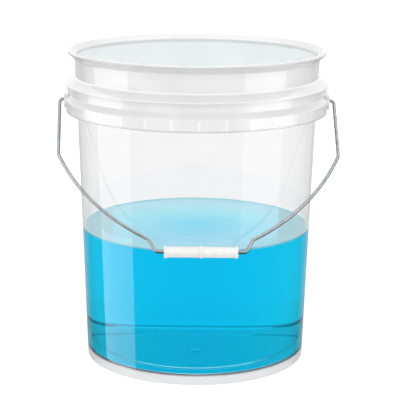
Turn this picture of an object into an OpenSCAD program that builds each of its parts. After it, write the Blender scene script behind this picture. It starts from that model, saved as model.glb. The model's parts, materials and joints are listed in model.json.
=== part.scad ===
// Wash bucket: a clear five-gallon pail, its wire bail and the turning grip.
// Millimetres, +Z up. The origin is on the pail's axis, on the ground under the foot.
// The bail hangs in front (-Y), with the grip resting against the pail.
// The pail is one moulding. Its body, rim, skirt and ribs are separate solids that
// meet face to face, so that each stays a simple shape.

/* [Pail] */
// Overall height
pail_h = 368; // [280:1:450]
// Outside diameter of the rim bead
rim_od = 302; // [260:1:370]
// Outside diameter of the foot
base_od = 260; // [210:1:285]
// Thickness of the side wall
wall_t = 2.2; // [1.6:0.1:3]
// Height of the inside floor above the ground
floor_z = 12; // [9:0.5:18]
// Thickness of the floor
floor_t = 2.5; // [2:0.1:4]
// Radius inside, where the floor meets the wall
floor_fillet = 4; // [2:0.5:8]
// Width of the foot's flat edge
foot_w = 2.8; // [2:0.1:4]

/* [Rim] */
// How far the bead stands out from the neck
bead_out = 7.7; // [5:0.1:10]
// Height of the bead, from its underside at the neck to the top
bead_h = 10.5; // [8:0.1:14]
// Radius of the bead's nose
bead_nose_r = 2.2; // [1.5:0.1:3]
// Height of the flared lip inside the mouth
lip_h = 5.5; // [4:0.1:7]
// Width of the flat on top of the bead
bead_flat = 1.8; // [1:0.1:3]

/* [Neck and skirt] */
// Height of the neck, from the stop ring to the bead
neck_h = 20.9; // [15:0.1:32]
// How much the neck narrows downwards, on the radius
neck_draft = 1.3; // [0:0.1:2]
// How far the stop ring stands out from the foot of the neck
stop_out = 11.5; // [8:0.1:16]
// How far the stop ring slopes down to its edge
stop_drop = 8.8; // [6:0.1:12]
// How far the stop ring's edge stands out from the band
stop_lip = 4.5; // [3:0.1:6]
// Height of the band under the stop ring
band_h = 10.5; // [8:0.1:16]
// Height of the slope between band and skirt
ledge_h = 7; // [4:0.1:10]
// How far the skirt stands out from the band
ledge_out = 4.3; // [3:0.1:6]
// Height of the skirt below the slope
skirt_h = 13.5; // [10:0.1:20]
// Thickness of the skirt and the band
skirt_t = 2; // [1.5:0.1:3]
// How far the body is narrower than the neck, on the radius
body_step = 2.2; // [1:0.1:4]
// Number of ribs inside the skirt
rib_count = 32; // [16:1:40]
// Thickness of a rib
rib_t = 1.6; // [1:0.1:2.5]
// Angle of the first rib from the front
rib_phase = 1; // [0:0.25:10]
// How far the ribs stop above the skirt's lower edge
rib_recess = 2; // [1:0.5:4]

/* [Ears] */
// Width of an ear's pad, measured round the pail
ear_w = 44; // [34:1:60]
// How far an ear's pad stands into the gap behind the band
ear_depth = 0.4; // [0.2:0.1:1.5]
// Diameter of the round boss
boss_d = 21; // [14:0.5:24]
// How far the boss stands out from the skirt
boss_out = 2.2; // [1:0.1:4]
// Height of the bail's axis above the skirt's lower edge
ear_up = 12; // [11:0.5:16]

/* [Bail] */
// Diameter of the wire
wire_d = 3.8; // [3:0.1:5]
// Clearance round the wire in the ears and in the grip, on the radius
wire_clear = 0.1; // [0.05:0.01:0.1]
// Radius of the bends beside the ears, to the wire's middle
hook_r = 5; // [4:0.5:8]
// Gap between a boss and the start of its bend
ear_gap = 0.5; // [0.3:0.1:2]
// Length of the straight legs below the ears
leg_len = 78; // [50:1:95]
// Radius of the bends at the foot of the legs
shoulder_r = 9; // [5:1:15]
// Distance from the ears to the middle of the grip
bail_arm = 205.5; // [190:0.5:260]
// How much the wire turns along each long bow, in degrees
bow_turn = 34; // [20:1:45]
// Depth of the jog beside the grip
jog_h = 16; // [10:0.5:20]
// Sideways run of the jog
jog_run = 8.5; // [4:0.5:14]
// Radius of the bends in the jog
jog_r = 4; // [3:0.5:6]
// How far the middle of the bail is set to one side
side_set = 6; // [0:0.5:8]
// Diameter of the headed ends inside the ears
head_d = 6.6; // [5:0.1:8]
// Thickness of the headed ends
head_t = 2; // [1.5:0.1:3]

/* [Grip] */
// Length of the grip
grip_len = 82; // [60:1:110]
// Diameter of the grip
grip_d = 13; // [11:0.1:20]
// How far the end flanges and the middle ring stand out
grip_ring = 0.5; // [0.3:0.1:1.5]
// Width of the end flanges and the middle ring
grip_ring_w = 3; // [2:0.1:5]
// Free play at each end of the grip
grip_play = 9; // [6:0.5:14]
// Gap between the hanging grip and the pail
rest_gap = 0.8; // [0.4:0.1:2]

/* [Hidden] */
$fn = 96;
join = 0.6;                 // how far joined shapes run into each other
ear_inset = 0.3;            // how far an ear's pad lies behind the skirt's face
edge = 1;                   // small chamfers
collar_l = 0.5;             // length of the collars on the wire
collar_out = 0.03;          // how far the collars stand out

// Levels, from the top down
bead_z = pail_h - bead_h;
stop_top_z = bead_z - neck_h;
stop_z = stop_top_z - stop_drop;
band_top_z = stop_z - edge;
ledge_top_z = band_top_z - band_h;
ledge_z = ledge_top_z - ledge_h;
skirt_z = ledge_z - skirt_h;
ear_z = skirt_z + ear_up;

// Outside radii
rim_r = rim_od / 2;
neck_top_r = rim_r - bead_out;
neck_r = neck_top_r - neck_draft;
stop_r = neck_r + stop_out;
band_r = stop_r - stop_lip;
skirt_r = band_r + ledge_out;
body_top_r = neck_r - body_step;
base_r = base_od / 2;

// Outside radius of the body at height z, below the skirt's edge
function body_r(z) = base_r + (body_top_r - base_r) * z / skirt_z;

// The gap behind the skirt: its upper corner at the band, and its top at the neck
under_stop = [band_r - skirt_t, stop_z - wall_t];
cavity_z = under_stop[1] + (under_stop[0] - neck_r) * stop_drop / stop_out;

// Bail and ears
wire_r = wire_d / 2;
bore_r = wire_r + wire_clear;
boss_x = skirt_r + boss_out;
leg_x = boss_x + ear_gap + hook_r;
ear_out_r = skirt_r - ear_inset;
ear_in_r = band_r - skirt_t - ear_depth;
pocket = ear_in_r - neck_r;
head_x = neck_r + (pocket - head_t) / 2;
ear_half_angle = asin(ear_w / 2 / skirt_r);
grip_r = grip_d / 2 + grip_ring;

// Radius at which the grip's middle hangs, worked out again at each better height
function hang_y(z) = body_r(z) + rest_gap + grip_r;
function hang_z(y) = ear_z - sqrt(bail_arm * bail_arm - y * y);
function settle(z, steps) = steps == 0 ? z : settle(hang_z(hang_y(z)), steps - 1);
grip_z = settle(ear_z - bail_arm, 12);
grip_y = -hang_y(grip_z);
bail_tilt = asin(-grip_y / bail_arm);

function unit(v) = v / norm(v);
function turned(v, a) = [v[0] * cos(a) - v[1] * sin(a), v[0] * sin(a) + v[1] * cos(a)];
function cross2(a, b) = a[0] * b[1] - a[1] * b[0];

// Points of an arc round c, from angle a0 to a1
function arc(c, r, a0, a1, steps) =
    [for (i = [0:steps]) c + r * [cos(a0 + (a1 - a0) * i / steps), sin(a0 + (a1 - a0) * i / steps)]];

// ---------- pail ----------

// Half the section of the body: foot, floor and tapered wall, up to the neck
module body_outline() {
    floor_r = body_r(floor_z + floor_fillet) - wall_t;
    polygon(concat(
        [[base_r - foot_w, 0], [base_r - edge, 0], [body_r(edge), edge]],
        [[body_top_r, skirt_z], [neck_r, cavity_z], [neck_r, stop_top_z]],
        [[neck_r - wall_t, stop_top_z], [body_top_r - wall_t, skirt_z]],
        arc([floor_r - floor_fillet, floor_z + floor_fillet], floor_fillet, 0, -90, 5),
        [[0, floor_z], [0, floor_z - floor_t], [base_r - foot_w, floor_z - floor_t]]
    ));
}

// Half the section of the neck and the rim bead
module rim_outline() {
    nose = [rim_r - bead_nose_r, pail_h - bead_nose_r];
    polygon(concat(
        [[neck_r, stop_top_z], [neck_top_r, bead_z]],
        arc(nose, bead_nose_r, -50, 90, 8),
        [[nose[0] - bead_flat, pail_h], [neck_top_r - wall_t, pail_h - lip_h]],
        [[neck_r - wall_t, stop_top_z]]
    ));
}

// Half the section of the stop ring, the band under it, the ledge and the skirt
module skirt_outline() {
    polygon(concat(
        [[neck_r, cavity_z], under_stop, [under_stop[0], ledge_top_z - join]],
        [[skirt_r - skirt_t, ledge_z - join], [skirt_r - skirt_t, skirt_z]],
        [[skirt_r - edge / 2, skirt_z], [skirt_r, skirt_z + edge / 2]],
        [[skirt_r, ledge_z], [band_r, ledge_top_z], [band_r, band_top_z]],
        arc([stop_r - edge, stop_z], edge, -90, 50, 5),
        [[neck_r, stop_top_z]]
    ));
}

// One rib, standing in the gap between the body and the skirt
module rib() {
    low = skirt_z + rib_recess;
    rotate([90, 0, 0])
        linear_extrude(height = rib_t, center = true)
            polygon([
                [body_top_r - join, low], [skirt_r - skirt_t + join, low],
                [skirt_r - skirt_t + join, ledge_z - edge], [body_top_r - join, ledge_z - edge]
            ]);
}

// The ribs go all round, but leave room for the headed wire ends behind the ears
module ribs() {
    pitch = 360 / rib_count;
    for (i = [0:rib_count - 1]) {
        angle = rib_phase + i * pitch;
        from_ear = abs(angle % 180 - 90);
        if (from_ear > ear_half_angle)
            rotate([0, 0, angle - 90]) rib();
    }
}

module ear_pad() {
    rotate([0, 0, -ear_half_angle])
        rotate_extrude(angle = 2 * ear_half_angle)
            polygon([
                [ear_in_r, skirt_z + join], [ear_out_r, skirt_z + join],
                [ear_out_r, band_top_z + join], [ear_in_r, band_top_z + join]
            ]);
}

module ear() {
    ear_pad();
    translate([ear_in_r + join, 0, ear_z])
        rotate([0, 90, 0])
            cylinder(d = boss_d, h = boss_x - ear_in_r - join);
}

// The holes that the ends of the bail turn in
module ear_bores() {
    for (side = [0, 180])
        rotate([0, 0, side])
            translate([head_x, 0, ear_z])
                rotate([0, 90, 0])
                    cylinder(r = bore_r, h = leg_x - head_x);
}

module pail_body() {
    color([0.88, 0.92, 0.95, 0.45])
        rotate_extrude() body_outline();
}

module pail_rim() {
    color([0.86, 0.9, 0.93, 0.5])
        rotate_extrude() rim_outline();
}

module pail_skirt() {
    color([0.92, 0.94, 0.96, 0.5])
        difference() {
            union() {
                rotate_extrude() skirt_outline();
                ear();
                rotate([0, 0, 180]) ear();
            }
            ear_bores();
        }
}

// The ribs end on the faces of the body and of the skirt
module skirt_ribs() {
    color([0.95, 0.96, 0.97, 0.6])
        difference() {
            ribs();
            rotate_extrude() body_outline();
            rotate_extrude() skirt_outline();
        }
}

// ---------- bail ----------

// The wire lies in the XY plane while it is bent
module rod(a, b, radius) {
    d = b - a;
    translate([a[0], a[1], 0])
        rotate([0, 0, atan2(d[1], d[0])])
            rotate([0, 90, 0])
                cylinder(r = radius, h = norm(d));
}

function turn_at(p, i) = let(a = unit(p[i] - p[i - 1]), b = unit(p[i + 1] - p[i]))
    atan2(cross2(a, b), a * b);
function setback(p, r, i) = r[i] * tan(abs(turn_at(p, i)) / 2);

// A thin collar over the place where a straight runs into a bend
module collar(at, along) {
    rod(at - along * collar_l / 2, at + along * collar_l / 2, wire_r + collar_out);
}

module bend(p, r, i) {
    turn = turn_at(p, i);
    before = unit(p[i] - p[i - 1]);
    after = unit(p[i + 1] - p[i]);
    start = p[i] - before * setback(p, r, i);
    to_middle = turned(before, 90 * sign(turn)) * r[i];
    middle = start + to_middle;
    from = atan2(-to_middle[1], -to_middle[0]);
    translate([middle[0], middle[1], 0])
        rotate([0, 0, turn > 0 ? from : from + turn])
            rotate_extrude(angle = abs(turn))
                translate([r[i], 0]) circle(r = wire_r);
    collar(start, before);
    collar(p[i] + after * setback(p, r, i), after);
}

// A wire through the corners p, with a bend of radius r[i] at each inner corner
module bent_wire(p, r) {
    last = len(p) - 1;
    for (i = [0:last - 1]) {
        along = unit(p[i + 1] - p[i]);
        back_a = i == 0 ? 0 : setback(p, r, i) + collar_l / 4;
        back_b = i == last - 1 ? 0 : setback(p, r, i + 1) + collar_l / 4;
        rod(p[i] + along * back_a, p[i + 1] - along * back_b, wire_r);
    }
    for (i = [1:last - 1]) bend(p, r, i);
}

// Corners of one half of the bail, from the ear to the grip: x outwards, y down
straight_half = grip_len / 2 + grip_play;
shoulder = [leg_x, leg_len];
jog_end = [straight_half, bail_arm];
jog_start = [straight_half + jog_run, bail_arm - jog_h];
chord = jog_start - shoulder;
bow_side = norm(chord) / 2 / cos(bow_turn / 2);
bow_top = shoulder + turned(unit(chord), -bow_turn / 2) * bow_side;
bow_r = (bow_side - shoulder_r) / tan(bow_turn / 2);

// A corner on the left (-1) or right (1), with its share of the sideways set
function placed(p, side) = [side * p[0] + side_set * p[1] / bail_arm, -p[1]];

function half(side) = [
    [side * head_x, 0],
    [side * leg_x, 0],
    placed(shoulder, side),
    placed(bow_top, side),
    placed(jog_start, side),
    placed(jog_end, side)
];
half_radii = [0, hook_r, shoulder_r, bow_r, jog_r, jog_r];

function backwards(v) = [for (i = [len(v) - 1:-1:0]) v[i]];

module hung() {
    translate([0, 0, ear_z])
        rotate([-bail_tilt, 0, 0])
            children();
}

module bail_wire() {
    color("silver")
        hung() {
            rotate([90, 0, 0])
                bent_wire(concat(half(-1), backwards(half(1))), concat(half_radii, backwards(half_radii)));
            for (side = [-1, 1])
                translate([side * (head_x + head_t / 2), 0, 0])
                    rotate([0, 90, 0])
                        cylinder(d = head_d, h = head_t, center = true);
        }
}

// ---------- grip ----------

module grip_outline() {
    ring_r = grip_r;
    tube_r = grip_d / 2;
    end = grip_len / 2;
    half_ring = grip_ring_w / 2;
    polygon([
        [bore_r, -end], [ring_r - edge / 2, -end], [ring_r, edge / 2 - end],
        [ring_r, grip_ring_w - end], [tube_r, grip_ring_w + grip_ring - end],
        [tube_r, -half_ring - grip_ring], [ring_r, -half_ring],
        [ring_r, half_ring], [tube_r, half_ring + grip_ring],
        [tube_r, end - grip_ring_w - grip_ring], [ring_r, end - grip_ring_w],
        [ring_r, end - edge / 2], [ring_r - edge / 2, end], [bore_r, end]
    ]);
}

module grip() {
    color("white")
        hung()
            translate([side_set, 0, -bail_arm])
                rotate([0, 90, 0])
                    rotate_extrude() grip_outline();
}

pail_body();
pail_rim();
pail_skirt();
skirt_ribs();
bail_wire();
grip();
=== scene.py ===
# %% [markdown]
# # A clear wash bucket with blue wash water
#
# This lesson makes the looks of a clear five-gallon wash bucket. The real one is three
# things: a pail moulded in one shot from clear plastic, a bail bent from zinc-coated wire,
# and a white grip that turns on the wire. The pail is almost half full of blue wash water.
#
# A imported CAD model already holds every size, and the way the bail and the grip move. The
# lesson loads it first, so that each visible piece lands exactly where the design says.

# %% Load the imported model
import json
from math import asin, atan2, ceil, cos, hypot, pi, radians, sin, tan

import bmesh
import bpy
from mathutils import Matrix, Vector


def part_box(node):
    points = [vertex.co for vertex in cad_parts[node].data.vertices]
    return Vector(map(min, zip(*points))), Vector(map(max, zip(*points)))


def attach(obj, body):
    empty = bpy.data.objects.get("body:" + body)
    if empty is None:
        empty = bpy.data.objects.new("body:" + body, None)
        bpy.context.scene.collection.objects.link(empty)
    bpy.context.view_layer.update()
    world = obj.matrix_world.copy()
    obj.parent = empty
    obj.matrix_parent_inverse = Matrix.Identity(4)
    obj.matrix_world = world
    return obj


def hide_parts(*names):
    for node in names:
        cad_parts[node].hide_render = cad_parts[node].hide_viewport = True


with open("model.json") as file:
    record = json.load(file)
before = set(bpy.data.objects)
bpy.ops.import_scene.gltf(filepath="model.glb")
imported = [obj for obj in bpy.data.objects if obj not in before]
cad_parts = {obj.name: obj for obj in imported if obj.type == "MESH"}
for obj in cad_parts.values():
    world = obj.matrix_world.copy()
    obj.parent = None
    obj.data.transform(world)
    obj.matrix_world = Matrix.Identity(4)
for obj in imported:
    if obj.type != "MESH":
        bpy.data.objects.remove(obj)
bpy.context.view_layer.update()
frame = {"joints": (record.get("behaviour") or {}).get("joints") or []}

# %% [markdown]
# ## Sizes
#
# Blender works in metres and the bucket is designed in millimetres, so one value turns one
# into the other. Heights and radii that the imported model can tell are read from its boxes
# and its joints. Only what a box can't show, such as a wall's thickness, is written here.

# %% Read the sizes
MM = 0.001

joints = {joint["name"]: joint for joint in frame["joints"]}
ear_z = joints["bail_swing"]["pos_m"][2]
grip_at = Vector(joints["grip_spin"]["pos_m"])

body_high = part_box("pail_body")[1]
rim_low, rim_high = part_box("pail_rim")
skirt_low, skirt_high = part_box("pail_skirt")

top_z, rim_r = rim_high.z, rim_high.x
neck_z, neck_r = rim_low.z, body_high.x
skirt_z, stop_r = skirt_low.z, skirt_high.y
boss_x = skirt_high.x

wall = 2.2 * MM
base_r = 130 * MM
body_top_r = neck_r - 2.2 * MM
floor_z = 12 * MM
floor_under_z = 9.5 * MM
water_z = 157.6 * MM


def body_r(z):
    """Outside radius of the tapered body at height z."""
    return base_r + (body_top_r - base_r) * z / skirt_z


print(f"rim {2 * rim_r:.3f} m across, {top_z:.3f} m high; the bail's axis is at {ear_z:.4f} m")

# %% [markdown]
# ## The camera
#
# The bucket is seen from a little above, with a long lens, as a product is usually shown.
# A long lens from nearly two metres away keeps the sides almost straight. The camera could
# be aimed with a constraint, but a location and three turns are easier to read: pitch tips
# it down, yaw turns it a trace to one side, and roll leans it a trace.

# %% Set up the camera
SENSOR_MM = 36
FOCAL_MM = 135.9
CAMERA_AWAY = 1.758
CAMERA_HEIGHT = 0.593
PITCH = radians(13.02)
YAW = radians(-0.154)
ROLL = radians(0.472)

lens = bpy.data.cameras.new("camera")
lens.sensor_width = SENSOR_MM
lens.lens = FOCAL_MM
camera = bpy.data.objects.new("camera", lens)
camera.matrix_world = (
    Matrix.Translation((0, -CAMERA_AWAY, CAMERA_HEIGHT))
    @ Matrix.Rotation(YAW, 4, "Z")
    @ Matrix.Rotation(pi / 2 - PITCH, 4, "X")
    @ Matrix.Rotation(ROLL, 4, "Z")
)
bpy.context.scene.collection.objects.link(camera)
bpy.context.scene.camera = camera
print("the camera stands at", tuple(camera.location))

# %% [markdown]
# ## Small helpers
#
# Every turned shape starts as half of its section, a thin line of corners in the XZ plane.
# A corner's fillet is a bevel on its vertex, so that no edge is sharper than a mould makes
# it. Spinning the line once round Z closes it into a body, and merging the doubles closes
# the poles on the axis.

# %% Draw and spin a section
SEGMENTS = 192
FILLET_STEPS = 4
LONGEST_STEP = 14 * MM
SAME_POINT = 0.001 * MM


def rounded_line(corners):
    """A line of (radius, height, fillet) corners in the XZ plane, as a new bmesh."""
    bm = bmesh.new()
    points = [Vector((r, 0, z)) for r, z, fillet in corners]
    verts = [bm.verts.new(p) for p in points]
    for a, b in zip(verts, verts[1:]):
        bm.edges.new((a, b))
    for i in range(1, len(corners) - 1):
        fillet = corners[i][2]
        if fillet > 0:
            turn = (points[i] - points[i - 1]).angle(points[i + 1] - points[i])
            bmesh.ops.bevel(
                bm, geom=[verts[i]], offset=fillet * tan(turn / 2), offset_type="OFFSET",
                affect="VERTICES", segments=FILLET_STEPS, profile=0.5, material=-1,
            )
    for edge in list(bm.edges):
        cuts = int(edge.calc_length() / LONGEST_STEP)
        if cuts > 0:
            bmesh.ops.subdivide_edges(bm, edges=[edge], cuts=cuts)
    return bm


def spun(corners, segments=SEGMENTS):
    """A closed body of revolution round Z from the corners of half its section."""
    bm = rounded_line(corners)
    bmesh.ops.spin(
        bm, geom=bm.verts[:] + bm.edges[:], cent=(0, 0, 0), axis=(0, 0, 1),
        angle=2 * pi, steps=segments, use_merge=True, use_duplicate=False,
    )
    bmesh.ops.remove_doubles(bm, verts=bm.verts[:], dist=SAME_POINT)
    bmesh.ops.recalc_face_normals(bm, faces=bm.faces[:])
    return bm


# %% Turn a bmesh into a piece
SHARP = radians(38)


def as_object(bm, name):
    """Puts a bmesh into a new smooth-shaded object at the origin."""
    mesh = bpy.data.meshes.new(name)
    bm.to_mesh(mesh)
    bm.free()
    mesh.shade_smooth()
    mesh.set_sharp_from_angle(angle=SHARP)
    made = bpy.data.objects.new(name, mesh)
    bpy.context.scene.collection.objects.link(made)
    return made


def even_normals(piece):
    """Lets the large faces set the shading, so that flat stretches look flat up to a fillet."""
    modifier = piece.modifiers.new("even_normals", "WEIGHTED_NORMAL")
    modifier.keep_sharp = True


def carve(piece, tool, operation):
    """Adds a tool shape to a piece, or takes it away, and keeps the result as plain mesh."""
    modifier = piece.modifiers.new("carve", "BOOLEAN")
    modifier.operation = operation
    modifier.solver = "EXACT"
    modifier.object = tool
    bpy.context.view_layer.update()
    whole = piece.evaluated_get(bpy.context.evaluated_depsgraph_get())
    carved = bpy.data.meshes.new_from_object(whole)
    piece.modifiers.remove(modifier)
    piece.data = carved
    bpy.data.objects.remove(tool)


# %% [markdown]
# ## The pail
#
# A five-gallon pail is one thin moulding. Its wall is 2.2 mm thick all the way up. The
# mouth ends in a rim bead for a lid, and below the neck a sloping stop ring, a short band
# and a hanging skirt stiffen it. A surface modelled without thickness would be quicker,
# but clear plastic needs both faces of the wall, because each bends and reflects light.
#
# So the section is drawn all round: from the middle of the underside, out to the foot, up
# the outside, over the rim and down the inside to the middle of the floor.

# %% Draw the pail's section
band_r = stop_r - 4.5 * MM
skirt_r = band_r + 4.3 * MM
skirt_wall = 2 * MM
stop_z = neck_z - 8.8 * MM
band_top_z = stop_z - 1 * MM
ledge_top_z = band_top_z - 10.5 * MM
ledge_z = ledge_top_z - 7 * MM
bead_z = top_z - 10.5 * MM
neck_top_r = rim_r - 7.7 * MM

foot_in = base_r - 2.8 * MM
ring_mid, ring_half, ring_z = 90 * MM, 1.2 * MM, 6.5 * MM
gate_r, gate_z = 5 * MM, 8.7 * MM

underside = [
    (0, gate_z, 0),
    (gate_r, gate_z, 0.3 * MM),
    (gate_r + 1 * MM, floor_under_z, 0.3 * MM),
    (ring_mid - ring_half, floor_under_z, 0.5 * MM),
    (ring_mid - ring_half, ring_z, 0.5 * MM),
    (ring_mid + ring_half, ring_z, 0.5 * MM),
    (ring_mid + ring_half, floor_under_z, 0.5 * MM),
    (foot_in, floor_under_z, 1.5 * MM),
    (foot_in, 0, 0.6 * MM),
    (base_r, 0, 1.2 * MM),
]
outside = [
    (body_top_r, skirt_z, 6 * MM),
    (neck_r, stop_z + 1.6 * MM, 0.8 * MM),
    (band_r - skirt_wall, stop_z - 2.2 * MM, 0.8 * MM),
    (band_r - skirt_wall, ledge_top_z - 0.6 * MM, 1 * MM),
    (skirt_r - skirt_wall, ledge_z - 0.6 * MM, 1 * MM),
    (skirt_r - skirt_wall, skirt_z, 0.5 * MM),
    (skirt_r, skirt_z, 0.6 * MM),
    (skirt_r, ledge_z, 1.2 * MM),
    (band_r, ledge_top_z, 1.2 * MM),
    (band_r, band_top_z, 0.7 * MM),
    (stop_r, band_top_z, 0.9 * MM),
    (stop_r, stop_z + 0.5 * MM, 0.6 * MM),
    (neck_r, neck_z, 1.5 * MM),
    (neck_top_r, bead_z, 1 * MM),
    (rim_r, top_z - 3.2 * MM, 1.2 * MM),
    (rim_r, top_z, 2 * MM),
]
inside = [
    (rim_r - 4 * MM, top_z, 1 * MM),
    (neck_top_r - wall, top_z - 5.5 * MM, 1.5 * MM),
    (neck_r - wall, neck_z, 4 * MM),
    (body_top_r - wall, skirt_z, 6 * MM),
    (body_r(water_z) - wall, water_z, 0),
    (body_r(floor_z) - wall, floor_z, 4 * MM),
    (0, floor_z, 0),
]
pail = as_object(spun(underside + outside + inside), "pail")
print("the plain pail has", len(pail.data.polygons), "faces")

# %% [markdown]
# ## Ribs and ears
#
# Thirty thin ribs tie the skirt to the body, and two thick ears carry the bail: each is a
# pad that fills the step beside the band, with a round boss on it and a bore through both.
# They are part of the same moulding. Loose shapes pushed into the wall would show as faces
# inside clear plastic, so each shape is joined with a true union, and the bore is cut out.

# %% Add the ribs
RIB_COUNT = 32
RIB_PHASE = radians(1)
rib_t = 1.6 * MM
rib_low, rib_high = skirt_z + 2 * MM, ledge_z - 1 * MM
ear_half_angle = asin(22 * MM / skirt_r)
bite = 0.6 * MM


def box_shape(bm, low, high):
    """Adds a box between two corners to a bmesh."""
    low, high = Vector(low), Vector(high)
    size = Matrix.Diagonal((high - low).to_4d())
    bmesh.ops.create_cube(bm, size=1, matrix=Matrix.Translation((low + high) / 2) @ size)


def rib_shapes():
    """All the ribs as one tool shape; none stands behind an ear."""
    bm = bmesh.new()
    for i in range(RIB_COUNT):
        angle = RIB_PHASE + i * 2 * pi / RIB_COUNT
        from_ear = abs(angle % pi - pi / 2)
        if from_ear > ear_half_angle:
            rib = bmesh.new()
            inner, outer = body_top_r - bite, skirt_r - skirt_wall + bite
            box_shape(rib, (inner, -rib_t / 2, rib_low), (outer, rib_t / 2, rib_high))
            turn = Matrix.Rotation(angle - pi / 2, 4, "Z")
            bmesh.ops.transform(rib, matrix=turn, verts=rib.verts[:])
            part = bpy.data.meshes.new("rib")
            rib.to_mesh(part)
            rib.free()
            bm.from_mesh(part)
    return bm


carve(pail, as_object(rib_shapes(), "rib_tool"), "UNION")
print("with its ribs the pail has", len(pail.data.polygons), "faces")

# %% Shape an ear's pad
PAD_STEPS, EDGE_STEPS = 12, 3
pad_in_r, pad_out_r = band_r - skirt_wall - 0.4 * MM, skirt_r - 0.3 * MM
pad_low, pad_high = skirt_z + bite, band_top_z + bite


def pad_shape(middle_angle):
    """The curved pad of one ear, as a section that spins through the ear's angle."""
    bm = bmesh.new()
    low = [(pad_in_r, pad_low), (pad_out_r, pad_low)]
    high = [(pad_out_r, pad_high), (pad_in_r, pad_high)]
    face = bm.faces.new([bm.verts.new((r, 0, z)) for r, z in low + high])
    start = Matrix.Rotation(middle_angle - ear_half_angle, 4, "Z")
    bmesh.ops.transform(bm, matrix=start, verts=bm.verts[:])
    bmesh.ops.spin(
        bm, geom=bm.verts[:] + bm.edges[:] + [face], cent=(0, 0, 0), axis=(0, 0, 1),
        angle=2 * ear_half_angle, steps=PAD_STEPS, use_merge=False, use_duplicate=False,
    )
    bmesh.ops.recalc_face_normals(bm, faces=bm.faces[:])
    upright = [e for e in bm.edges if abs(e.verts[0].co.z - e.verts[1].co.z) > wall]
    ends = [e for e in upright if e.calc_face_angle() > SHARP]
    outer = [e for e in ends if e.verts[0].co.xy.length > band_r]
    bmesh.ops.bevel(
        bm, geom=outer, offset=2 * MM, offset_type="OFFSET", affect="EDGES",
        segments=EDGE_STEPS, profile=0.5, material=-1,
    )
    return bm


# %% Shape the boss and its bore
SMALL_SEGMENTS, BORE_SEGMENTS = 64, 48
boss_r, bore_r = 10.5 * MM, 2 * MM
boss_rim, bore_rim = 3 * MM, 2 * MM
groove = 0.6 * MM


def along_x(side):
    """Turns a shape made along +Z so that it points outwards on one side, at the bail's axis."""
    return Matrix.Translation((0, 0, ear_z)) @ Matrix.Rotation(side * pi / 2, 4, "Y")


def boss_shape(side):
    """The round boss, with a shallow ring round the bore, spun along the bail's axis."""
    start = pad_in_r + bite
    bm = spun([
        (0, start, 0),
        (boss_r, start, 0),
        (boss_r, boss_x, 1 * MM),
        (boss_r - boss_rim, boss_x, 0.4 * MM),
        (boss_r - boss_rim - groove, boss_x - groove, 0.4 * MM),
        (bore_r + bore_rim + groove, boss_x - groove, 0.4 * MM),
        (bore_r + bore_rim, boss_x, 0.4 * MM),
        (0, boss_x, 0),
    ], segments=SMALL_SEGMENTS)
    bmesh.ops.transform(bm, matrix=along_x(side), verts=bm.verts[:])
    return bm


def bore_shape(side):
    """The rod that cuts the bail's hole through the boss and the pad."""
    bm = bmesh.new()
    depth = boss_x + 5 * MM - neck_r
    bmesh.ops.create_cone(
        bm, cap_ends=True, segments=BORE_SEGMENTS, radius1=bore_r, radius2=bore_r, depth=depth,
        matrix=along_x(side) @ Matrix.Translation((0, 0, neck_r + depth / 2 + 1 * MM)),
    )
    return bm


# %% Join the ears to the pail
for side in (-1, 1):
    carve(pail, as_object(pad_shape(0 if side > 0 else pi), "pad_tool"), "UNION")
    carve(pail, as_object(boss_shape(side), "boss_tool"), "UNION")
    carve(pail, as_object(bore_shape(side), "bore_tool"), "DIFFERENCE")
pail.data.shade_smooth()
pail.data.set_sharp_from_angle(angle=SHARP)
even_normals(pail)
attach(pail, "pail")
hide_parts("pail_body", "pail_rim", "pail_skirt", "skirt_ribs")
print("with its ears the pail has", len(pail.data.polygons), "faces")

# %% [markdown]
# ## The wash water
#
# The water is what the bucket carries, so it isn't a CAD part: it rides on the pail. A blue
# disc at its level would be enough from above, but from the side the blue deepens with the
# way that light goes through it, so the water is a closed body that fills the pail. Its side
# lies a tenth of a millimetre inside the plastic, so that no thin film of air shows between
# the two. Its surface climbs the wall a little, as water does where it wets a wall.

# %% Pour the water
wetting = 0.12 * MM
meniscus_h, meniscus_w = 1.4 * MM, 4 * MM


def water_r(z):
    """Radius of the water's side at height z, just inside the plastic."""
    return body_r(z) - wall + wetting


water = as_object(spun([
    (0, floor_z - wetting, 0),
    (water_r(floor_z), floor_z - wetting, 4 * MM),
    (water_r(water_z), water_z + meniscus_h, 0),
    (water_r(water_z) - 0.8 * MM, water_z + 0.5 * MM, 0.8 * MM),
    (water_r(water_z) - meniscus_w, water_z, 3 * MM),
    (0, water_z, 0),
]), "wash_water")
even_normals(water)
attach(water, "pail")
print(f"the water stands {1000 * (water_z - floor_z):.0f} mm deep")

# %% [markdown]
# ## The bail
#
# The bail is one steel wire, bent in one plane: a headed end in each ear, a tight bend, a
# straight leg, a long bow, and a jog into the straight stretch that carries the grip. A
# curve object with a round bevel would do, but a bender doesn't draw splines, it feeds the
# wire straight and bends it round a roller. The mesh is made the same way: a ring of
# vertices is pushed along each straight and spun round each roller.
#
# The wire is bent flat, with x outwards and y down the bail, then hung from the ears.

# %% The bender's steps
WIRE_SIDES = 20
BEND_STEP = radians(8)


def edges_of(bm, verts):
    """The edges that join the given vertices."""
    ring = set(verts)
    return [e for e in bm.edges if e.verts[0] in ring and e.verts[1] in ring]


def push(bm, ring, by):
    """Extrudes a ring of vertices by a vector and returns the new ring."""
    made = bmesh.ops.extrude_edge_only(bm, edges=edges_of(bm, ring))
    new = [g for g in made["geom"] if isinstance(g, bmesh.types.BMVert)]
    bmesh.ops.translate(bm, verts=new, vec=by)
    return new


def swell(bm, ring, factor):
    """Extrudes a ring in its own plane, larger or smaller, and returns the new ring."""
    new = push(bm, ring, (0, 0, 0))
    middle = sum((v.co for v in new), Vector()) / len(new)
    bmesh.ops.scale(bm, verts=new, vec=(factor,) * 3, space=Matrix.Translation(-middle))
    return new


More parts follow.
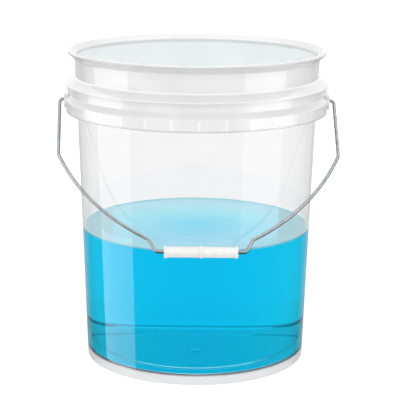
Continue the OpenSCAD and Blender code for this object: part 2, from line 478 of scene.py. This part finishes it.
def bend(bm, ring, middle, turn, steps):
    """Spins a ring round a roller at the given middle and returns the new ring."""
    made = bmesh.ops.spin(
        bm, geom=list(ring) + edges_of(bm, ring), cent=middle, axis=(0, 0, 1),
        angle=turn, steps=steps, use_merge=False, use_duplicate=False,
    )
    return [g for g in made["geom_last"] if isinstance(g, bmesh.types.BMVert)]


# %% Find the wire's corners
wire_r = 1.9 * MM
hook_r = 5 * MM
shoulder_r = 9 * MM
jog_r = 4 * MM
bow_turn = radians(34)
head_r, head_t, crown = 3.3 * MM, 2 * MM, 0.4 * MM
leg, grip_play = 78 * MM, 9 * MM
jog_h, jog_run = 16 * MM, 8.5 * MM
bail_arm = hypot(grip_at.y, ear_z - grip_at.z)
bail_tilt = atan2(-grip_at.y, ear_z - grip_at.z)
head_x = neck_r + (pad_in_r - neck_r - head_t) / 2
leg_x = boss_x + 0.5 * MM + hook_r

grip_low, grip_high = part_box("grip")
straight_half = (grip_high.x - grip_low.x) / 2 + grip_play
shoulder = Vector((leg_x, leg))
jog_start = Vector((straight_half + jog_run, bail_arm - jog_h))
jog_end = Vector((straight_half, bail_arm))

chord = jog_start - shoulder
bow_side = chord.length / 2 / cos(bow_turn / 2)
bow_top = shoulder + Matrix.Rotation(-bow_turn / 2, 2) @ chord.normalized() * bow_side
bow_r = (bow_side - shoulder_r) / tan(bow_turn / 2)


def placed(point, side):
    """A corner on the left (-1) or right (1). The grip's end is set a little to one side."""
    return Vector((side * point.x + grip_at.x * point.y / bail_arm, -point.y, 0))


def half_route(side):
    """Corners and roller radii of half the bail, from the ear to the grip."""
    ear = [(Vector((side * head_x, 0, 0)), 0), (Vector((side * leg_x, 0, 0)), hook_r)]
    rest = [(shoulder, shoulder_r), (bow_top, bow_r), (jog_start, jog_r), (jog_end, jog_r)]
    return ear + [(placed(point, side), radius) for point, radius in rest]


print(f"the bail is {1000 * bail_arm:.1f} mm long and hangs at {bail_tilt / pi * 180:.1f} degrees")

# %% Bend the wire
LEAST_STEPS = 4
BOW_FINER = 5
CROWN_SHARE = 0.8


def bent_wire(route):
    """A closed round wire with a head at each end, through corners with rolled bends."""
    bm = bmesh.new()
    points = [point for point, radius in route]
    along = (points[1] - points[0]).normalized()
    facing = along.to_track_quat("Z", "Y").to_matrix().to_4x4()
    circle = bmesh.ops.create_circle(
        bm, cap_ends=True, segments=WIRE_SIDES, radius=head_r * CROWN_SHARE,
        matrix=Matrix.Translation(points[0]) @ facing,
    )
    ring = swell(bm, push(bm, circle["verts"], along * crown), 1 / CROWN_SHARE)
    ring = push(bm, ring, along * (head_t - crown))
    ring = swell(bm, ring, wire_r / head_r)
    at = points[0] + along * head_t
    for i in range(1, len(points) - 1):
        corner, roller = route[i]
        before = (corner - points[i - 1]).normalized()
        after = (points[i + 1] - corner).normalized()
        turn = before.xy.angle_signed(after.xy) * -1
        setback = roller * tan(abs(turn) / 2)
        start = corner - before * setback
        ring = push(bm, ring, start - at)
        sideways = Vector((-before.y, before.x, 0)) * (1 if turn > 0 else -1)
        steps = max(LEAST_STEPS, ceil(abs(turn) / BEND_STEP))
        if roller == bow_r:
            steps *= BOW_FINER
        ring = bend(bm, ring, start + sideways * roller, turn, steps)
        at = corner + after * setback
    along = (points[-1] - points[-2]).normalized()
    ring = push(bm, ring, points[-1] - along * head_t - at)
    ring = swell(bm, ring, head_r / wire_r)
    ring = push(bm, ring, along * (head_t - crown))
    ring = swell(bm, push(bm, ring, along * crown), CROWN_SHARE)
    bmesh.ops.contextual_create(bm, geom=edges_of(bm, ring))
    bmesh.ops.remove_doubles(bm, verts=bm.verts[:], dist=SAME_POINT)
    bmesh.ops.recalc_face_normals(bm, faces=bm.faces[:])
    return bm


# %% Hang the bail
def hang(bm):
    """Stands the flat bail upright, tilts it as it hangs and moves it to the ears."""
    upright = Matrix.Rotation(pi / 2, 4, "X")
    tilted = Matrix.Rotation(-bail_tilt, 4, "X")
    place = Matrix.Translation((0, 0, ear_z)) @ tilted @ upright
    bmesh.ops.transform(bm, matrix=place, verts=bm.verts[:])
    return bm


route = half_route(-1) + half_route(1)[::-1]
wire = as_object(hang(bent_wire(route)), "bail_wire_bent")
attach(wire, "bail")
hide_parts("bail_wire")
print("the bail has", len(wire.data.polygons), "faces")

# %% [markdown]
# ## The grip
#
# The grip is a white moulded tube with a flange at each end and a ring in the middle. Its
# bore is a little wider than the wire, so it turns. It could be a cylinder with three rings
# laid over it, but one spun section gives the bore, the rings and their slopes a single
# closed skin, as a mould does. It is laid along X at the foot of the bail.

# %% Make the grip
grip_r, ring_r = 6.2 * MM, 7 * MM
flange_w = 3 * MM
grip_half = (grip_high.x - grip_low.x) / 2
slope = 0.5 * MM

grip_section = [
    (bore_r, -grip_half, 0.3 * MM),
    (ring_r, -grip_half, 0.6 * MM),
    (ring_r, flange_w - grip_half, 0.4 * MM),
    (grip_r, flange_w + slope - grip_half, 0.4 * MM),
    (grip_r, -flange_w / 2 - slope, 0.4 * MM),
    (ring_r, -flange_w / 2, 0.4 * MM),
    (ring_r, flange_w / 2, 0.4 * MM),
    (grip_r, flange_w / 2 + slope, 0.4 * MM),
    (grip_r, grip_half - flange_w - slope, 0.4 * MM),
    (ring_r, grip_half - flange_w, 0.4 * MM),
    (ring_r, grip_half, 0.6 * MM),
    (bore_r, grip_half, 0.3 * MM),
    (bore_r, -grip_half, 0),
]
grip_bm = spun(grip_section, segments=SMALL_SEGMENTS)
lay = Matrix.Translation(grip_at) @ Matrix.Rotation(pi / 2, 4, "Y")
bmesh.ops.transform(grip_bm, matrix=lay, verts=grip_bm.verts[:])
grip = as_object(grip_bm, "grip_tube")
even_normals(grip)
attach(grip, "grip")
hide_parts("grip")
print("the grip has", len(grip.data.polygons), "faces")

# %% [markdown]
# ## Finishes
#
# Each finish is a Principled shader, and noise on the piece's own Object coordinates breaks
# up its colour, gloss and surface. Painted images could do that too, but noise has no seams,
# and it holds from every side. Small helpers keep the node trees short.

# %% Add and join nodes
def new_finish(name):
    """A new material with its node tree and its Principled shader."""
    material = bpy.data.materials.new(name)
    material.use_nodes = True
    return material, material.node_tree, material.node_tree.nodes["Principled BSDF"]


def add(tree, kind, values=(), **settings):
    """Adds a shader node, with input values by name or number and settings by name."""
    made = tree.nodes.new("ShaderNode" + kind)
    for name, value in settings.items():
        setattr(made, name, value)
    for name, value in dict(values).items():
        made.inputs[name].default_value = value
    return made


def join(tree, source, target):
    """Joins an output socket to an input socket."""
    tree.links.new(source, target)


# %% Noise, ranges and sums
def noise(tree, scale, detail=3, stretch=(1, 1, 1)):
    """Noise on the piece's own coordinates, stretched along the axes; returns its output."""
    coordinates = add(tree, "TexCoord")
    mapping = add(tree, "Mapping", {"Scale": stretch})
    texture = add(tree, "TexNoise", {"Scale": scale, "Detail": detail})
    join(tree, coordinates.outputs["Object"], mapping.inputs["Vector"])
    join(tree, mapping.outputs["Vector"], texture.inputs["Vector"])
    return texture.outputs["Fac"]


def ranged(tree, source, low, high, to_low, to_high):
    """Maps a value from one range to another, held at the ends; returns the output."""
    made = add(tree, "MapRange", {1: low, 2: high, 3: to_low, 4: to_high})
    join(tree, source, made.inputs[0])
    return made.outputs[0]


def varied(tree, scale, low, high, detail=3):
    """A value that wanders between two others with noise; returns the output."""
    return ranged(tree, noise(tree, scale, detail), 0.3, 0.7, low, high)


def maths(tree, operation, a, b=0):
    """One sum on one or two values or sockets; returns the output."""
    made = add(tree, "Math", operation=operation)
    for socket, value in zip(made.inputs, (a, b)):
        if isinstance(value, (int, float)):
            socket.default_value = value
        else:
            join(tree, value, socket)
    return made.outputs[0]


def xyz(tree, space="Object"):
    """The X, Y and Z of a point, as the named outputs of one node."""
    coordinates = add(tree, "TexCoord")
    split = add(tree, "SeparateXYZ")
    join(tree, coordinates.outputs[space], split.inputs[0])
    return split.outputs


# %% Bump and tint
def bump(tree, shader, height, strength, distance):
    """Gives a shader a bump from a height."""
    made = add(tree, "Bump", {"Strength": strength, "Distance": distance})
    join(tree, height, made.inputs["Height"])
    join(tree, made.outputs["Normal"], shader.inputs["Normal"])


def tinted(tree, factor, dark, light):
    """A colour between two, by a factor; returns the output."""
    made = add(tree, "Mix", {6: (*dark, 1), 7: (*light, 1)}, data_type="RGBA")
    join(tree, factor, made.inputs[0])
    return made.outputs[2]


# %% [markdown]
# ### Clear plastic
#
# Clear polypropylene bends light like glass, a little less, and takes a trace of it away.
# The collar and the foot are thick or doubled, so they turn milky there. A subsurface shader
# is the usual way to make milky plastic, but it comes out blotchy in walls this thin. So the
# shader's transmission falls in those places instead, and a clear coat keeps the skin glossy.
#
# The zones are masks, each a number from 0 to 1 that is worked out from a point's height, its
# angle round the pail and its distance from the axis.

# %% Masks by height, angle and distance
def between(tree, source, low, high):
    """A mask that is one between two values and falls off at both; returns the output."""
    up = ranged(tree, source, low - 1 * MM, low + 1 * MM, 0, 1)
    down = ranged(tree, source, high - 1 * MM, high + 1 * MM, 1, 0)
    return maths(tree, "MULTIPLY", up, down)


def painted_rib_highlights(tree, at):
    """A mask for the painted highlight: one in front of each rib, falling off beside it; returns
    the output.
    """
    angle = maths(tree, "ARCTAN2", at["Y"], at["X"])
    turns = maths(tree, "ADD", angle, 2 * pi + pi / 2 - RIB_PHASE)
    phase = maths(tree, "FRACT", maths(tree, "MULTIPLY", turns, RIB_COUNT / (2 * pi)))
    off = maths(tree, "PINGPONG", phase, 0.5)
    beside = ranged(tree, off, 0.025, 0.06, 1, 0)
    level = between(tree, at["Z"], rib_low, rib_high)
    return maths(tree, "MULTIPLY", beside, level)


def distance_from_axis(tree, at):
    """The radius of a point, from its X and Y; returns the output."""
    flat = add(tree, "CombineXYZ")
    join(tree, at["X"], flat.inputs["X"])
    join(tree, at["Y"], flat.inputs["Y"])
    length = add(tree, "VectorMath", operation="LENGTH")
    join(tree, flat.outputs[0], length.inputs[0])
    return length.outputs["Value"]


# %% [markdown]
# The greys set by the height are painted shade and light. The stop ring, the ledge, the bead,
# the skirt and the foot are painted greyer, as the shade on those slopes and ledges, and the
# inside of the mouth is painted whiter, as light that the hollow doesn't get. The pail's floor
# is a trace lighter than its wall. These greys are quick and free of noise.

# %% Painted shade and light on the plastic
# Painted shade and light: a grey painted on each band by height, and a lift painted inside the
# mouth.
FLOOR_LIGHT, WALL_LIGHT = 0.98, 0.9
MOUTH_PAINTED_LIGHT, COLLAR_OUTSIDE_PAINTED_SHADE = 0.08, -0.02
RING_PAINTED_SHADE, LEDGE_PAINTED_SHADE, BEAD_PAINTED_SHADE, SKIRT_PAINTED_SHADE, FOOT_PAINTED_SHADE = 0.2, 0.28, 0.17, 0.05, 0.12


def painted_greys(tree, height, radius, collar, foot):
    """Painted shade and light: whitest inside the mouth, greyest on the ring, the ledge and the
    bead.
    """
    ring = maths(tree, "MULTIPLY", between(tree, height, stop_z, neck_z - 1 * MM), RING_PAINTED_SHADE)
    ledge = maths(tree, "MULTIPLY", between(tree, height, ledge_z, ledge_top_z), LEDGE_PAINTED_SHADE)
    bead = ranged(tree, height, bead_z, bead_z + 1 * MM, 0, BEAD_PAINTED_SHADE)
    skirt = ranged(tree, height, ledge_z - 1 * MM, ledge_z, SKIRT_PAINTED_SHADE, 0)
    band_shade = maths(tree, "MAXIMUM", maths(tree, "MAXIMUM", ring, ledge), bead)
    outside = ranged(tree, radius, neck_r - wall, neck_r, 0, 1)
    less = maths(tree, "MULTIPLY", maths(tree, "ADD", band_shade, skirt), outside)
    # Painted light inside the mouth, and a trace of painted shade on the collar's outside.
    mouth_light = ranged(tree, outside, 0, 1, MOUTH_PAINTED_LIGHT, COLLAR_OUTSIDE_PAINTED_SHADE)
    clear = ranged(tree, height, floor_z, floor_z + 6 * MM, FLOOR_LIGHT, WALL_LIGHT)
    milky = maths(tree, "ADD", clear, maths(tree, "MULTIPLY", collar, mouth_light))
    light = maths(tree, "SUBTRACT", milky, less)
    return maths(tree, "SUBTRACT", light, maths(tree, "MULTIPLY", foot, FOOT_PAINTED_SHADE))


# %% [markdown]
# Where a rib meets the skirt, a short white bar is painted on the skirt as a highlight.
#
# Under water the inner face no longer borders on air but on water, which bends light almost
# as much. So that face gets its own material, with the ratio of the two indices. Leaving it
# out would put a white veil over the water, because the shader would see a gap of air there.

# %% Make the clear plastic
PLASTIC_IOR = 1.47
WATER_IOR = 1.33
COAT_IOR = 1.8
COLLAR_MILK, FOOT_MILK, BEAD_LESS = 0.95, 0.6, 0.2
# How bright the painted highlight in front of each rib is.
RIB_HIGHLIGHT_WHITE = 0.11
MILK_ROUGHNESS = 0.3


def plastic(name, ior):
    """Clear plastic, milky at the collar and the foot, against air or against water."""
    material, tree, shader = new_finish(name)
    shader.inputs["IOR"].default_value = ior
    shader.inputs["Coat IOR"].default_value = COAT_IOR
    at = xyz(tree)
    height, radius = at["Z"], distance_from_axis(tree, at)
    collar = ranged(tree, height, skirt_z - 4 * MM, skirt_z + 3 * MM, 0, COLLAR_MILK)
    bead = ranged(tree, height, bead_z, bead_z + 3 * MM, 0, BEAD_LESS)
    low = ranged(tree, height, floor_under_z, floor_z + 1.5 * MM, FOOT_MILK, 0)
    foot = maths(tree, "MULTIPLY", low, ranged(tree, radius, foot_in - 4 * MM, foot_in, 0, 1))
    zones = maths(tree, "MAXIMUM", maths(tree, "SUBTRACT", collar, bead), foot)
    share = maths(tree, "MULTIPLY", zones, varied(tree, 30, 0.95, 1.05))
    join(tree, maths(tree, "SUBTRACT", 1, share), shader.inputs["Transmission Weight"])
    # The painted highlights in front of the ribs join the painted shade and light by height in the
    # base colour.
    rib_highlight_mask = maths(tree, "MULTIPLY", painted_rib_highlights(tree, at), RIB_HIGHLIGHT_WHITE)
    light = maths(tree, "ADD", painted_greys(tree, height, radius, collar, foot), rib_highlight_mask)
    join(tree, maths(tree, "MINIMUM", light, 1), shader.inputs["Base Color"])
    dull = maths(tree, "MULTIPLY", zones, MILK_ROUGHNESS)
    join(tree, maths(tree, "ADD", varied(tree, 60, 0.01, 0.04), dull), shader.inputs["Roughness"])
    join(tree, zones, shader.inputs["Coat Weight"])
    bump(tree, shader, noise(tree, 25, detail=2, stretch=(1, 1, 0.15)), 0.1, 0.2 * MM)
    return material


# %% Finish the dry and the wet faces
pail.data.materials.clear()
pail.data.materials.append(plastic("clear_plastic", PLASTIC_IOR))
pail.data.materials.append(plastic("wet_plastic", PLASTIC_IOR / WATER_IOR))


def is_wet(face):
    """Whether water lies against a face of the pail."""
    inside = face.center.xy.length < body_r(face.center.z) - wall / 2
    return inside and floor_z - wall / 2 < face.center.z < water_z


for face in pail.data.polygons:
    face.material_index = int(is_wet(face))
print("wet faces:", sum(face.material_index == 1 for face in pail.data.polygons))

# %% [markdown]
# ### Wash water
#
# The wash solution is a clear blue, so its colour comes from the depth the light crosses: the
# shader is colourless, and a volume takes away red and a little green on the way. One
# material covers the whole body, because light must leave a volume through the material it
# came in by. The wet plastic already bends the light, so the body doesn't bend it again. The
# surface gets what water against air shows: a mirror that is strongest at a low angle, here
# a coat, and a thin soapy bloom.

# %% Make the wash water
SOAP = (0.42, 0.87, 1)
SOAP_MIDDLE, SOAP_EDGE = 0.1, 0.95
KEPT_LIGHT = (0, 0.915, 0.99, 1)
TAKEN_PER_METRE = 25


def wash_water():
    """Clear blue inside, with a mirror and a trace of soap on the surface."""
    material, tree, shader = new_finish("wash_water")
    shader.inputs["IOR"].default_value = 1
    shader.inputs["Coat IOR"].default_value = WATER_IOR
    shader.inputs["Coat Roughness"].default_value = 0.01
    at = xyz(tree)
    surface = ranged(tree, at["Z"], water_z - 0.5 * MM, water_z - 0.1 * MM, 0, 1)
    join(tree, surface, shader.inputs["Coat Weight"])
    radius = distance_from_axis(tree, at)
    edge = water_r(water_z) - meniscus_w
    spread = ranged(tree, radius, 0, edge, SOAP_MIDDLE, SOAP_EDGE)
    cloud = varied(tree, 9, 0.9, 1, detail=2)
    bloom = maths(tree, "MULTIPLY", surface, maths(tree, "MULTIPLY", spread, cloud))
    join(tree, maths(tree, "SUBTRACT", 1, bloom), shader.inputs["Transmission Weight"])
    join(tree, tinted(tree, surface, (1, 1, 1), SOAP), shader.inputs["Base Color"])
    join(tree, varied(tree, 20, 0, 0.02), shader.inputs["Roughness"])
    bump(tree, shader, noise(tree, 14, detail=1), 0.2, 0.3 * MM)
    volume = add(tree, "VolumeAbsorption", {"Color": KEPT_LIGHT, "Density": TAKEN_PER_METRE})
    join(tree, volume.outputs[0], tree.nodes["Material Output"].inputs["Volume"])
    return material


water.data.materials.append(wash_water())
print("the water's finish is", water.data.materials[0].name)

# %% [markdown]
# ### Zinc-coated wire
#
# Zinc leaves a dull bright coat with soft grey patches and a fine grain. Drawn wire also has
# lines along it, but they would need coordinates that follow each bend, and on a wire this
# thin they don't show. So the shader is a rough metal with three noises: one for the colour,
# one for the roughness and one for the bump.

# %% Make the zinc coat
DARK_ZINC, LIGHT_ZINC = (0.25, 0.26, 0.26), (0.34, 0.35, 0.35)


def zinc():
    """A rough grey metal with soft patches."""
    material, tree, shader = new_finish("galvanised_wire")
    shader.inputs["Metallic"].default_value = 1
    patches = ranged(tree, noise(tree, 180, detail=4), 0.35, 0.65, 0, 1)
    join(tree, tinted(tree, patches, DARK_ZINC, LIGHT_ZINC), shader.inputs["Base Color"])
    join(tree, varied(tree, 900, 0.24, 0.4), shader.inputs["Roughness"])
    bump(tree, shader, noise(tree, 2500), 0.06, 0.05 * MM)
    return material


wire.data.materials.append(zinc())
print("zinc is on", wire.name)

# %% [markdown]
# ### White plastic
#
# The grip is satin white plastic that lets a little light through. Handling leaves patches
# that are a trace greyer, and the skin has the faint orange peel of a warm mould. One plain
# white would look the same from afar, but flat and new from close by.

# %% Make the white plastic
WHITE_IOR = 1.48
HANDLED_WHITE, CLEAN_WHITE = (0.82, 0.82, 0.81), (0.9, 0.9, 0.89)


def white_plastic():
    """A satin white with greyer patches, slightly see-through."""
    material, tree, shader = new_finish("white_plastic")
    shader.inputs["IOR"].default_value = WHITE_IOR
    shader.inputs["Transmission Weight"].default_value = 0.15
    clean = ranged(tree, noise(tree, 120, detail=5), 0.35, 0.7, 0, 1)
    join(tree, tinted(tree, clean, HANDLED_WHITE, CLEAN_WHITE), shader.inputs["Base Color"])
    join(tree, varied(tree, 400, 0.28, 0.42), shader.inputs["Roughness"])
    bump(tree, shader, noise(tree, 700), 0.04, 0.05 * MM)
    return material


grip.data.materials.append(white_plastic())
print("white plastic is on", grip.name)

# %% [markdown]
# ## Floor and light
#
# Clear things show what is round them, so the studio is white: a floor that glows, and a
# world that is brighter overhead. Lamps alone would leave dark gaps between them, and the
# clear walls would show those. The floor also takes a little light, so the bucket can leave
# a faint shadow.
#
# Mirror reflections don't see the floor. They see the lower half of the world, which is dark
# except at the back, and that keeps the blue deep and draws grey edges on plastic and wire.
# Three soft panels beside the pail are seen only in reflections, and draw the long upright
# highlights.

# %% Lay the floor
FLOOR_HALF = 30
FLOOR_GREY, FLOOR_GLOW = 0.1, 0.95


def studio_floor():
    """A dull floor that glows white, so that it has no edge against the world."""
    material, tree, shader = new_finish("studio_floor")
    shader.inputs["Base Color"].default_value = (FLOOR_GREY, FLOOR_GREY, FLOOR_GREY, 1)
    shader.inputs["Roughness"].default_value = 0.9
    shader.inputs["Emission Color"].default_value = (1, 1, 1, 1)
    shader.inputs["Emission Strength"].default_value = FLOOR_GLOW
    return material


floor_bm = bmesh.new()
bmesh.ops.create_grid(floor_bm, x_segments=1, y_segments=1, size=FLOOR_HALF)
floor = as_object(floor_bm, "floor")
floor.data.materials.append(studio_floor())
floor.visible_glossy = False

# %% Light the studio
SIDE_GLOW, TOP_GLOW = 1.05, 2.1
LOW_GLOW, LOW_BACK_GLOW = 0.05, 0.7


def studio_world():
    """White above the horizon and brighter overhead, dark below it except at the back."""
    world = bpy.data.worlds.new("studio")
    world.use_nodes = True
    tree = world.node_tree
    towards = xyz(tree, "Generated")
    below = ranged(tree, towards["Y"], 0.7, 1, LOW_GLOW, LOW_BACK_GLOW)
    above = ranged(tree, towards["Z"], 0.5, 0.95, SIDE_GLOW, TOP_GLOW)
    horizon = ranged(tree, towards["Z"], -0.12, -0.02, 0, 1)
    background = tree.nodes["Background"]
    over = maths(tree, "MULTIPLY", above, horizon)
    under = maths(tree, "MULTIPLY", below, maths(tree, "SUBTRACT", 1, horizon))
    join(tree, maths(tree, "ADD", over, under), background.inputs["Strength"])
    background.inputs["Color"].default_value = (1, 1, 1, 1)
    return world


bpy.context.scene.world = studio_world()
bpy.context.scene.view_settings.view_transform = "Standard"

# %% Stand the soft panels
PANEL_AWAY, PANEL_WIDTH = 0.278, 0.18
LEFT, RIGHT = radians(-69), radians(52)
PANEL_LOW, PANEL_STEP, PANEL_HIGH = -0.06, 0.115, 0.36


def soft_panel(name, angle, low, high, glow):
    """An upright soft panel beside the pail, at an angle from the camera, seen in reflections."""
    light = bpy.data.lights.new(name, "AREA")
    light.shape = "RECTANGLE"
    light.size = PANEL_WIDTH
    light.size_y = high - low
    light.energy = glow * pi * PANEL_WIDTH * (high - low)
    panel = bpy.data.objects.new(name, light)
    outwards = Vector((sin(angle), -cos(angle), 0))
    middle = outwards * PANEL_AWAY + Vector((0, 0, (low + high) / 2))
    facing = outwards.to_track_quat("Z", "Y").to_matrix().to_4x4()
    panel.matrix_world = Matrix.Translation(middle) @ facing
    panel.visible_camera = False
    panel.visible_diffuse = False
    panel.visible_transmission = False
    bpy.context.scene.collection.objects.link(panel)


soft_panel("low_left_panel", LEFT, PANEL_LOW, PANEL_STEP, 2.2)
soft_panel("high_left_panel", LEFT, PANEL_STEP, PANEL_HIGH, 1)
soft_panel("high_right_panel", RIGHT, PANEL_STEP, PANEL_HIGH, 1)
